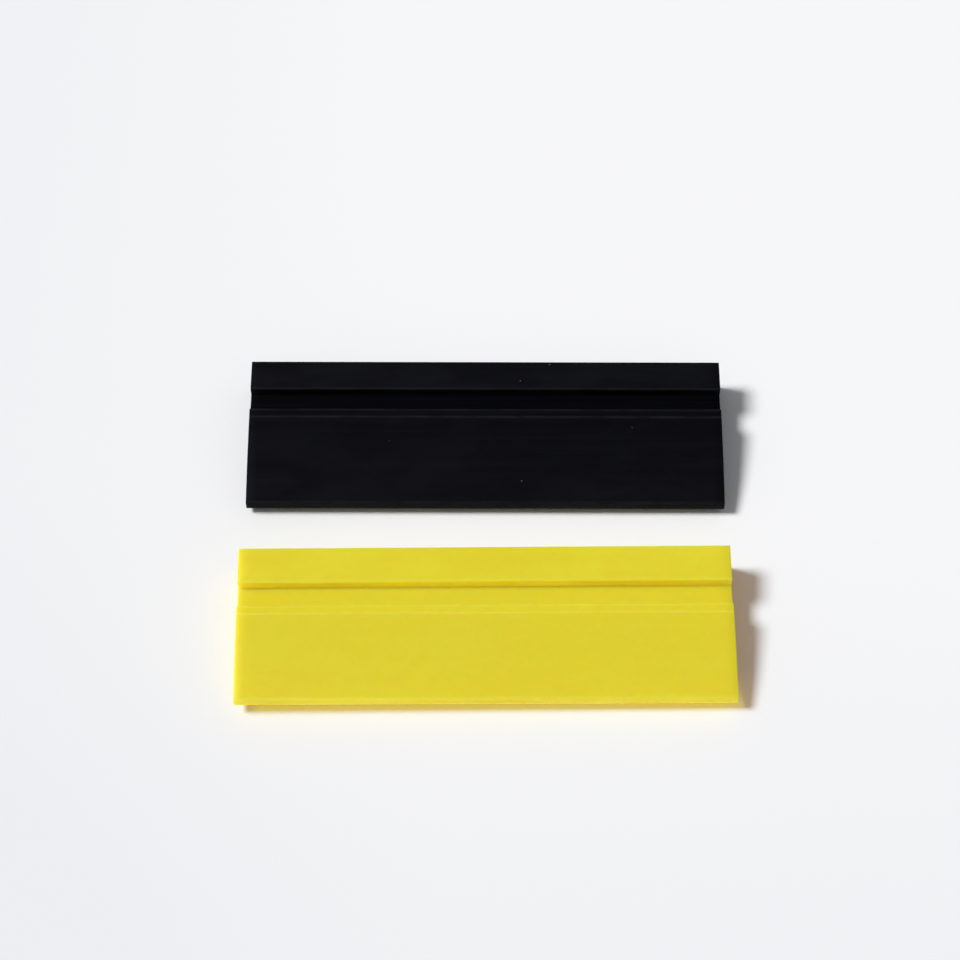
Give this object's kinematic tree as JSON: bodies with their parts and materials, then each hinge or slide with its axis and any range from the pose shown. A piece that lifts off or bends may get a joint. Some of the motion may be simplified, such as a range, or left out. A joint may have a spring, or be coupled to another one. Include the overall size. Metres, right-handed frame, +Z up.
{
  "type": "squeegee blade set",
  "caption": "Loose black and yellow squeegee blades for film application: a grip bead, handle grooves above and below, and a tapered wiping lip with a blunt edge.",
  "frame": {"origin": "on the surface the blades rest on, at the middle of the pair's box", "axes": "+X along the blades, +Y from the wiping edges to the grip beads, with the black blade on the +Y side, +Z up"},
  "size_m": [0.1402, 0.1152, 0.0139],
  "materials": {
    "black_rubber": "satin cast polyurethane, faint lengthwise streaks",
    "yellow_rubber": "satin cast polyurethane, slightly translucent"
  },
  "bodies": {
    "black_bead": {"black_grip_bead": "black_rubber"},
    "black_lip": {"black_wiping_lip": "black_rubber"},
    "yellow_bead": {"yellow_grip_bead": "yellow_rubber"},
    "yellow_lip": {"yellow_wiping_lip": "yellow_rubber"}
  },
  "joints": [
    {"name": "black_lip_bend", "type": "hinge", "parent": "black_bead", "child": "black_lip", "pos_m": [0, 0.04401, 0.0061], "axis": [-1, 0, 0], "range_deg": [0, 20], "stiffness_Nm_per_rad": 2.5},
    {"name": "yellow_blade_lift", "type": "slide", "parent": "black_bead", "child": "yellow_bead", "axis": [0, 0, 1], "range_m": [0, 0.06]},
    {"name": "yellow_lip_bend", "type": "hinge", "parent": "yellow_bead", "child": "yellow_lip", "pos_m": [-0.00009, -0.02473, 0.00585], "axis": [-0.9999, -0.0105, 0], "range_deg": [0, 25], "stiffness_Nm_per_rad": 1.2}
  ]
}
